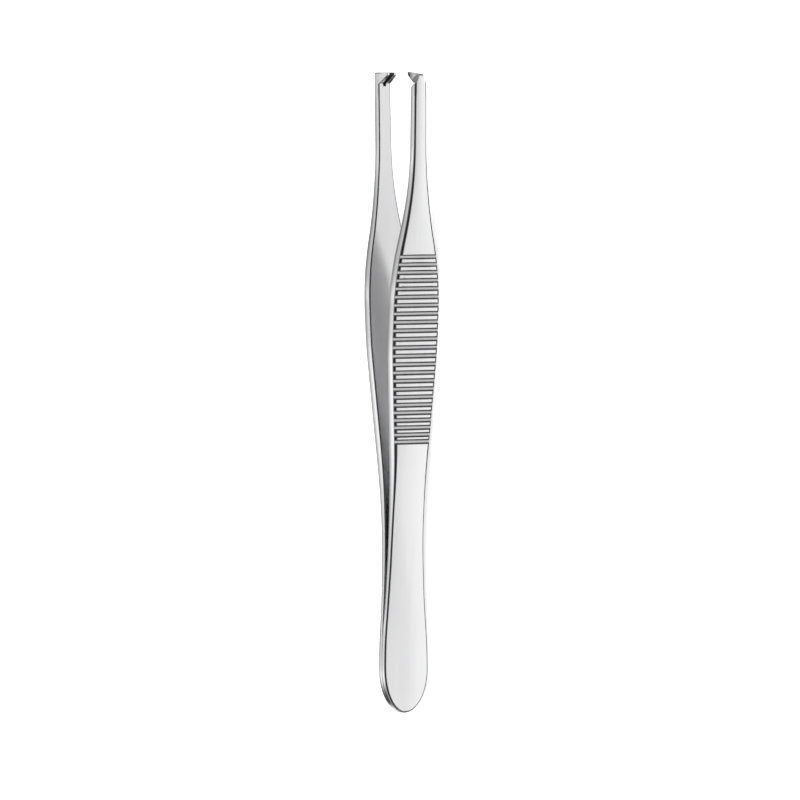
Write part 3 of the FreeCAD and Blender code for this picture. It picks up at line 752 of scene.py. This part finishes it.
def make_groove_tree():
    """The geometry nodes tree that cuts cross grooves into a grip."""
    tree = bpy.data.node_groups.new("grip_grooves", "GeometryNodeTree")
    sockets = [
        ("Blade", "NodeSocketGeometry"),
        ("Groove Count", "NodeSocketInt"),
        ("First Groove", "NodeSocketVector"),
        ("Heelwards", "NodeSocketVector"),
        ("Groove Turn", "NodeSocketVector"),
        ("Pitch", "NodeSocketFloat"),
        ("Widest Step", "NodeSocketFloat"),
        ("Crowding", "NodeSocketFloat"),
        ("Floor Width", "NodeSocketFloat"),
        ("Flank Run", "NodeSocketFloat"),
        ("Depth", "NodeSocketFloat"),
        ("Lip", "NodeSocketFloat"),
        ("Cut Length", "NodeSocketFloat"),
        ("Cutter Height", "NodeSocketFloat"),
        ("Section Points", "NodeSocketInt"),
        ("Floor Finish", "NodeSocketMaterial"),
        ("Wall Finish", "NodeSocketMaterial"),
    ]
    for label, kind in sockets:
        tree.interface.new_socket(label, in_out="INPUT", socket_type=kind)
    tree.interface.new_socket("Blade", in_out="OUTPUT", socket_type="NodeSocketGeometry")
    given = tree.nodes.new("NodeGroupInput").outputs
    cutter = add_cutter_nodes(tree, given)
    places = add_place_nodes(tree, given)

    copies = tree.nodes.new("GeometryNodeInstanceOnPoints")
    link(tree, places, copies.inputs["Points"])
    link(tree, cutter, copies.inputs["Instance"])
    turn = tree.nodes.new("FunctionNodeEulerToRotation")
    link(tree, given["Groove Turn"], turn.inputs[0])
    link(tree, turn.outputs[0], copies.inputs["Rotation"])

    cut = tree.nodes.new("GeometryNodeMeshBoolean")
    cut.operation = "DIFFERENCE"
    cut.solver = "MANIFOLD"
    link(tree, given["Blade"], cut.inputs["Mesh 1"])
    link(tree, copies.outputs["Instances"], cut.inputs["Mesh 2"])

    smooth = tree.nodes.new("GeometryNodeSetShadeSmooth")
    link(tree, cut.outputs["Mesh"], smooth.inputs["Geometry"])
    angle = tree.nodes.new("GeometryNodeInputMeshEdgeAngle")
    steep = tree.nodes.new("FunctionNodeCompare")
    steep.operation = "GREATER_THAN"
    link(tree, angle.outputs["Unsigned Angle"], steep.inputs["A"])
    steep.inputs["B"].default_value = SHARP_ANGLE
    crisp = tree.nodes.new("GeometryNodeSetShadeSmooth")
    crisp.domain = "EDGE"
    link(tree, smooth.outputs["Geometry"], crisp.inputs["Geometry"])
    link(tree, steep.outputs["Result"], crisp.inputs["Selection"])
    crisp.inputs["Shade Smooth"].default_value = False

    whole = tree.nodes.new("GeometryNodeRealizeInstances")
    link(tree, crisp.outputs["Geometry"], whole.inputs["Geometry"])
    # The floors and walls take materials darkened with painted shade.
    finished = add_finish_nodes(tree, whole.outputs["Geometry"], GROOVE_MARK, given["Floor Finish"])
    finished = add_finish_nodes(tree, finished, WALL_MARK, given["Wall Finish"])
    out = tree.nodes.new("NodeGroupOutput")
    link(tree, finished, out.inputs["Blade"])
    return tree


def add_finish_nodes(tree, geometry, mark, material):
    """Give a material to the marked faces."""
    marked = tree.nodes.new("GeometryNodeInputNamedAttribute")
    marked.data_type = "BOOLEAN"
    marked.inputs["Name"].default_value = mark
    finish = tree.nodes.new("GeometryNodeSetMaterial")
    link(tree, geometry, finish.inputs["Geometry"])
    link(tree, marked.outputs["Attribute"], finish.inputs["Selection"])
    link(tree, material, finish.inputs["Material"])
    return finish.outputs["Geometry"]


def add_mark_nodes(tree, geometry, mark, value):
    """Mark faces with a named yes or no: True, or an output socket."""
    node = tree.nodes.new("GeometryNodeStoreNamedAttribute")
    node.data_type = "BOOLEAN"
    node.domain = "FACE"
    node.inputs["Name"].default_value = mark
    if value is True:
        node.inputs["Value"].default_value = True
    else:
        link(tree, value, node.inputs["Value"])
    link(tree, geometry, node.inputs["Geometry"])
    return node.outputs["Geometry"]


def add_cutter_nodes(tree, given):
    """One groove's cutter: a strip with the groove's section, raised into a solid."""
    half_floor = maths(tree, "MULTIPLY", given["Floor Width"], 0.5)
    half_width = maths(tree, "ADD", half_floor, given["Flank Run"])
    strip = tree.nodes.new("GeometryNodeMeshGrid")
    link(tree, maths(tree, "MULTIPLY", half_width, 2.0), strip.inputs["Size X"])
    link(tree, given["Cut Length"], strip.inputs["Size Y"])
    link(tree, given["Section Points"], strip.inputs["Vertices X"])
    strip.inputs["Vertices Y"].default_value = 2

    place = tree.nodes.new("GeometryNodeInputPosition")
    apart = tree.nodes.new("ShaderNodeSeparateXYZ")
    link(tree, place.outputs[0], apart.inputs[0])
    flank = tree.nodes.new("ShaderNodeMapRange")
    flank.interpolation_type = "SMOOTHSTEP"
    link(tree, maths(tree, "ABSOLUTE", apart.outputs["X"]), flank.inputs["Value"])
    link(tree, half_floor, flank.inputs["From Min"])
    link(tree, half_width, flank.inputs["From Max"])
    link(tree, maths(tree, "MULTIPLY", given["Depth"], -1.0), flank.inputs["To Min"])
    link(tree, given["Lip"], flank.inputs["To Max"])
    lift = tree.nodes.new("ShaderNodeCombineXYZ")
    link(tree, flank.outputs["Result"], lift.inputs["Z"])
    section = tree.nodes.new("GeometryNodeSetPosition")
    link(tree, strip.outputs["Mesh"], section.inputs["Geometry"])
    link(tree, lift.outputs[0], section.inputs["Offset"])

    marked = add_mark_nodes(tree, section.outputs["Geometry"], GROOVE_MARK, True)
    facing = tree.nodes.new("GeometryNodeInputNormal")
    lean = tree.nodes.new("ShaderNodeSeparateXYZ")
    link(tree, facing.outputs["Normal"], lean.inputs[0])
    steep = maths(tree, "GREATER_THAN", maths(tree, "ABSOLUTE", lean.outputs["X"]), WALL_LEAN)
    marked = add_mark_nodes(tree, marked, WALL_MARK, steep)

    raised = tree.nodes.new("GeometryNodeExtrudeMesh")
    raised.inputs["Individual"].default_value = False
    link(tree, marked, raised.inputs["Mesh"])
    up = tree.nodes.new("ShaderNodeCombineXYZ")
    link(tree, given["Cutter Height"], up.inputs["Z"])
    link(tree, up.outputs[0], raised.inputs["Offset"])
    turned = tree.nodes.new("GeometryNodeFlipFaces")
    link(tree, marked, turned.inputs["Mesh"])
    both = tree.nodes.new("GeometryNodeJoinGeometry")
    link(tree, raised.outputs["Mesh"], both.inputs[0])
    link(tree, turned.outputs["Mesh"], both.inputs[0])
    closed = tree.nodes.new("GeometryNodeMergeByDistance")
    closed.inputs["Distance"].default_value = MERGE * MM
    link(tree, both.outputs[0], closed.inputs["Geometry"])
    return closed.outputs["Geometry"]


def add_place_nodes(tree, given):
    """The grooves' places: each spacing is added to those before it."""
    line = tree.nodes.new("GeometryNodeMeshLine")
    link(tree, given["Groove Count"], line.inputs["Count"])
    step = tree.nodes.new("GeometryNodeInputIndex")
    away = maths(tree, "SUBTRACT", step.outputs[0], given["Widest Step"])
    lost = maths(tree, "MULTIPLY", maths(tree, "MULTIPLY", away, away), given["Crowding"])
    spacing = maths(tree, "SUBTRACT", given["Pitch"], lost)
    total = tree.nodes.new("GeometryNodeAccumulateField")
    link(tree, spacing, total.inputs["Value"])
    shift = tree.nodes.new("ShaderNodeVectorMath")
    shift.operation = "SCALE"
    link(tree, given["Heelwards"], shift.inputs[0])
    link(tree, total.outputs["Trailing"], shift.inputs["Scale"])
    place = tree.nodes.new("ShaderNodeVectorMath")
    place.operation = "ADD"
    link(tree, given["First Groove"], place.inputs[0])
    link(tree, shift.outputs[0], place.inputs[1])
    moved = tree.nodes.new("GeometryNodeSetPosition")
    link(tree, line.outputs["Mesh"], moved.inputs["Geometry"])
    link(tree, place.outputs[0], moved.inputs["Position"])
    return moved.outputs["Geometry"]


groove_tree = make_groove_tree()


def set_inputs(modifier, values):
    """Give a tree's named inputs their values."""
    for item in groove_tree.interface.items_tree:
        if item.item_type == "SOCKET" and item.in_out == "INPUT" and item.name in values:
            modifier[item.identifier] = values[item.name]


def flank_run():
    """The length of a groove's flank, whose lip stands just above the face."""
    rise = GROOVE_DEPTH / (GROOVE_DEPTH + GROOVE_LIP)
    low, high = 0.0, 1.0
    for _ in range(HALVINGS):
        middle = (low + high) / 2
        if middle * middle * (3 - 2 * middle) < rise:
            low = middle
        else:
            high = middle
    return (GROOVE_WIDTH - GROOVE_FLOOR) / 2 / low


def cut_grip(piece, side):
    """Cut the grooves and turn the result into a plain mesh."""
    surface = outer_face.height(GROOVE_START)
    first = ((GROOVE_START - LENGTH / 2) * MM, side * surface * MM, GRIP_WIDTH / 2 * MM)
    heelwards = (-math.cos(GRIP_ANGLE), -side * math.sin(GRIP_ANGLE), 0)
    modifier = piece.modifiers.new("grip", "NODES")
    modifier.node_group = groove_tree
    set_inputs(modifier, {
        "Groove Count": GROOVE_COUNT,
        "First Groove": first,
        "Heelwards": heelwards,
        "Groove Turn": (-side * math.pi / 2, 0, side * GRIP_ANGLE),
        "Pitch": GROOVE_PITCH * MM,
        "Widest Step": float(GROOVE_WIDEST_STEP),
        "Crowding": GROOVE_CROWDING * MM,
        "Floor Width": GROOVE_FLOOR * MM,
        "Flank Run": flank_run() * MM,
        "Depth": GROOVE_DEPTH * MM,
        "Lip": GROOVE_LIP * MM,
        "Cut Length": (GRIP_WIDTH + GROOVE_OVERRUN) * MM,
        "Cutter Height": GROOVE_CUTTER_HEIGHT * MM,
        "Section Points": GROOVE_SECTION_POINTS,
        "Floor Finish": groove_floor,
        "Wall Finish": groove_wall_painted_shade,
    })
    graph = bpy.context.evaluated_depsgraph_get()
    cut = bpy.data.meshes.new_from_object(piece.evaluated_get(graph))
    piece.modifiers.remove(modifier)
    plain, piece.data = piece.data, cut
    bpy.data.meshes.remove(plain)


GROUND, POLISHED, SATIN, ROUNDED, CUT = range(5)
CUT_SKIN = 0.03
ROUND_FROM = math.sin(math.radians(14))
ROUND_TO = math.sin(math.radians(78))


def paint_faces(mesh, side, teeth):
    """Give each face its finish by the way it looks and by where it lies."""
    for material in (ground_edge, polished_face, satin_inside, rounded_edge_painted_reflection, teeth["cut"]):
        mesh.materials.append(material)
    normals = np.empty(len(mesh.polygons) * 3)
    centres = np.empty(len(mesh.polygons) * 3)
    mesh.polygons.foreach_get("normal", normals)
    mesh.polygons.foreach_get("center", centres)
    outward = normals[1::3] * side
    at = centres[0::3] / MM + LENGTH / 2
    out = centres[1::3] / MM * side
    across = centres[2::3] / MM - GRIP_WIDTH / 2
    finish = np.full(len(mesh.polygons), GROUND, np.int32)
    finish[outward > ROUND_TO] = POLISHED
    finish[outward < -ROUND_TO] = SATIN
    leaning = (np.abs(outward) > ROUND_FROM) & (np.abs(outward) <= ROUND_TO)
    on_long_edge = (at < TIP_FROM) | (np.abs(across) > half_width(at) - EDGE_TIP)
    # Leaning faces along the long edges take the painted dark reflection.
    finish[leaning & on_long_edge] = ROUNDED
    slid = at + (TIP_OUTER - out) * SEAT_SLANT
    # Faces cut by the shoulders or the slot take the teeth's cut finish, which for the twin teeth
    # is darkened with painted shade.
    finish[(at > TIP_FROM) & (teeth["kept"](slid, across) > -CUT_SKIN)] = CUT
    mesh.polygons.foreach_set("material_index", finish)


def make_blade(node, side, teeth):
    """Add a finished blade that stands for its node."""
    mesh = make_blade_mesh(node + "_polished", side, teeth)
    paint_faces(mesh, side, teeth)
    piece = bpy.data.objects.new(node + "_polished", mesh)
    bpy.context.scene.collection.objects.link(piece)
    cut_grip(piece, side)
    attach(piece, "root")
    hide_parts(node)


make_blade("single_tooth_blade", -1, dict(SINGLE_TOOTH, cut=ground_edge))
# The twin teeth's slot is darkened with painted shade.
make_blade("double_tooth_blade", 1, dict(TWIN_TEETH, cut=sawn_slot_painted_shade))


# The stage: a white floor, what the steel mirrors, a soft lamp and the camera

FLOOR_REACH = 3.0
FLOOR_WHITE = 0.8
FLOOR_GLOW = 0.65


def make_floor_material():
    """White to the eye with the forceps' shadow on it; steel mirrors the studio instead."""
    material = bpy.data.materials.new("white_floor")
    material.use_nodes = True
    tree = material.node_tree
    tree.nodes.clear()
    path = tree.nodes.new("ShaderNodeLightPath")
    matt = tree.nodes.new("ShaderNodeBsdfDiffuse")
    matt.inputs["Color"].default_value = (FLOOR_WHITE, FLOOR_WHITE, FLOOR_WHITE, 1)
    glow = tree.nodes.new("ShaderNodeEmission")
    seen_glow = maths(tree, "MULTIPLY", path.outputs["Is Camera Ray"], FLOOR_GLOW)
    link(tree, seen_glow, glow.inputs["Strength"])
    seen = tree.nodes.new("ShaderNodeAddShader")
    link(tree, matt.outputs[0], seen.inputs[0])
    link(tree, glow.outputs[0], seen.inputs[1])
    clear = tree.nodes.new("ShaderNodeBsdfTransparent")
    both = tree.nodes.new("ShaderNodeMixShader")
    link(tree, path.outputs["Is Glossy Ray"], both.inputs[0])
    link(tree, seen.outputs[0], both.inputs[1])
    link(tree, clear.outputs[0], both.inputs[2])
    out = tree.nodes.new("ShaderNodeOutputMaterial")
    link(tree, both.outputs[0], out.inputs["Surface"])
    return material


def make_floor():
    """A wide level floor under the forceps."""
    bm = bmesh.new()
    bmesh.ops.create_grid(bm, x_segments=1, y_segments=1, size=FLOOR_REACH)
    mesh = bpy.data.meshes.new("floor")
    bm.to_mesh(mesh)
    bm.free()
    mesh.materials.append(make_floor_material())
    floor = bpy.data.objects.new("floor", mesh)
    bpy.context.scene.collection.objects.link(floor)


# What the steel mirrors. ROUND_LEVELS go by the angle over the front horizon in degrees,
# over the top to the back and down under the part. FRONT_LEVELS and BACK_LEVELS go by how
# far a direction points along the part, from -1 past the heel to 1 past the tips.

STUDIO_GAIN = 2.5
OVERHEAD = 90.0
HALF_TURN = 180.0
ROUND_LEVELS = [
    (-180, 0.55),
    (-165, 0.5),
    (-155, 0.28),
    (-140, 0.25),
    (-130, 0.04),
    (-60, 0.04),
    (-50, 0.74),
    (-36, 0.74),
    (-26, 0.38),
    (-10, 0.27),
    (4, 0.18),
    (15, 0.02),
    (68, 0.02),
    (84, 0.35),
    (100, 0.5),
    (124, 0.78),
    (142, 0.74),
    (151, 0.5),
    (157, 0.03),
    (171, 0.03),
    (178, 0.5),
]
FRONT_LEVELS = [
    (-0.8, 0.65),
    (-0.45, 0.42),
    (-0.33, 0.72),
    (-0.28, 1.0),
    (-0.2, 0.85),
    (-0.16, 0.92),
    (-0.11, 0.82),
    (-0.07, 0.9),
    (-0.03, 0.95),
    (0.04, 0.82),
    (0.22, 0.78),
    (0.42, 0.42),
    (0.7, 0.6),
    (0.8, 0.12),
]
BACK_LEVELS = [
    (-0.8, 0.6),
    (-0.42, 0.25),
    (-0.25, 0.85),
    (-0.12, 0.92),
    (-0.03, 0.64),
    (0.0, 0.38),
    (0.012, 0.34),
    (0.034, 0.95),
    (0.05, 0.95),
    (0.08, 0.48),
    (0.2, 0.44),
    (0.25, 0.56),
    (0.36, 0.7),
    (0.72, 0.6),
    (0.8, 0.06),
]
UNDER_FROM = -58.0
UNDER_LEVEL = 1.0
SKY_FILL = 0.55


def ramp(tree, value, low, high, levels):
    """A colour ramp that gives a level by a value between two limits."""
    share = tree.nodes.new("ShaderNodeMapRange")
    link(tree, value, share.inputs["Value"])
    share.inputs["From Min"].default_value = low
    share.inputs["From Max"].default_value = high
    node = tree.nodes.new("ShaderNodeValToRGB")
    stops = node.color_ramp.elements
    while len(stops) < len(levels):
        stops.new(1.0)
    for stop, (place, level) in zip(stops, levels):
        stop.position = (place - low) / (high - low)
        stop.color = (level, level, level, 1)
    link(tree, share.outputs["Result"], node.inputs["Fac"])
    return node.outputs["Color"]


def blend(tree, share, first, second):
    """A level between two others."""
    node = tree.nodes.new("ShaderNodeMix")
    for label, value in (("Factor", share), ("A", first), ("B", second)):
        give(tree, value, node.inputs[label])
    return node.outputs["Result"]


def make_sky():
    """White to the eye, a soft fill for the floor, and light cards and dark gaps in steel."""
    world = bpy.data.worlds.new("studio")
    bpy.context.scene.world = world
    world.use_nodes = True
    tree = world.node_tree
    tree.nodes.clear()
    place = tree.nodes.new("ShaderNodeTexCoord")
    apart = tree.nodes.new("ShaderNodeSeparateXYZ")
    link(tree, place.outputs["Generated"], apart.inputs[0])
    forwards = maths(tree, "MULTIPLY", apart.outputs["Y"], -1.0)
    turn = maths(tree, "ARCTAN2", apart.outputs["Z"], forwards)
    turn = maths(tree, "DEGREES", turn)
    around = ramp(tree, turn, -HALF_TURN, HALF_TURN, ROUND_LEVELS)
    front = ramp(tree, apart.outputs["X"], -1, 1, FRONT_LEVELS)
    back = ramp(tree, apart.outputs["X"], -1, 1, BACK_LEVELS)
    behind = maths(tree, "GREATER_THAN", turn, OVERHEAD)
    under = maths(tree, "LESS_THAN", turn, UNDER_FROM)
    along = blend(tree, behind, front, back)
    along = blend(tree, under, along, UNDER_LEVEL)
    shade = maths(tree, "MULTIPLY", maths(tree, "MULTIPLY", around, along), STUDIO_GAIN)
    path = tree.nodes.new("ShaderNodeLightPath")
    glossy, direct = path.outputs["Is Glossy Ray"], path.outputs["Is Camera Ray"]
    mirrored = maths(tree, "MULTIPLY", glossy, shade)
    unseen = maths(tree, "SUBTRACT", maths(tree, "SUBTRACT", 1.0, glossy), direct)
    filled = maths(tree, "MULTIPLY", unseen, SKY_FILL)
    strength = maths(tree, "ADD", maths(tree, "ADD", mirrored, filled), direct)
    sky = tree.nodes.new("ShaderNodeBackground")
    link(tree, strength, sky.inputs["Strength"])
    out = tree.nodes.new("ShaderNodeOutputWorld")
    link(tree, sky.outputs[0], out.inputs["Surface"])


LAMP_PLACE = (-0.05, -0.30, 0.50)
LAMP_SIZE = 0.5
LAMP_POWER = 3.2


def make_lamp():
    """One wide soft lamp over the camera's side, which the steel doesn't mirror."""
    lamp = bpy.data.lights.new("soft_lamp", "AREA")
    lamp.shape = "SQUARE"
    lamp.size = LAMP_SIZE
    lamp.energy = LAMP_POWER
    holder = bpy.data.objects.new("soft_lamp", lamp)
    holder.location = LAMP_PLACE
    holder.rotation_euler = (-Vector(LAMP_PLACE)).to_track_quat("-Z", "Y").to_euler()
    holder.visible_glossy = False
    bpy.context.scene.collection.objects.link(holder)


CAMERA_HEIGHT_ANGLE = math.radians(32.6)
CAMERA_DISTANCE = 2.0
CAMERA_LEVEL_AT = 0.05874
CAMERA_PITCH = math.radians(1.725)
CAMERA_ROLL = math.radians(-0.277)
CAMERA_TURN = math.radians(-0.0111)
CAMERA_LENS = 444.0
CAMERA_NEAR = 0.01
CAMERA_FAR = 20.0


def make_camera():
    """A long lens level with the neck of the forceps, its long axis upright in view."""
    camera = bpy.data.cameras.new("view")
    camera.lens = CAMERA_LENS
    camera.clip_start = CAMERA_NEAR
    camera.clip_end = CAMERA_FAR
    holder = bpy.data.objects.new("view", camera)
    back = Vector((0, -math.cos(CAMERA_HEIGHT_ANGLE), math.sin(CAMERA_HEIGHT_ANGLE)))
    up = Vector((1, 0, 0))
    middle = Vector((CAMERA_LEVEL_AT, 0, GRIP_WIDTH / 2 * MM))
    holder.location = middle + back * CAMERA_DISTANCE
    looking = (-back * math.cos(CAMERA_PITCH) - up * math.sin(CAMERA_PITCH)).normalized()
    right = looking.cross(up).normalized()
    top = right.cross(looking)
    looking = (looking + right * math.tan(CAMERA_TURN)).normalized()
    right = looking.cross(top).normalized()
    top = right.cross(looking)
    tilted_right = right * math.cos(CAMERA_ROLL) + top * math.sin(CAMERA_ROLL)
    tilted_top = top * math.cos(CAMERA_ROLL) - right * math.sin(CAMERA_ROLL)
    turned = Matrix((tilted_right, tilted_top, -looking)).transposed()
    holder.rotation_euler = turned.to_euler()
    bpy.context.scene.collection.objects.link(holder)
    bpy.context.scene.camera = holder


make_floor()
make_sky()
make_lamp()
make_camera()
bpy.context.scene.view_settings.view_transform = "Standard"
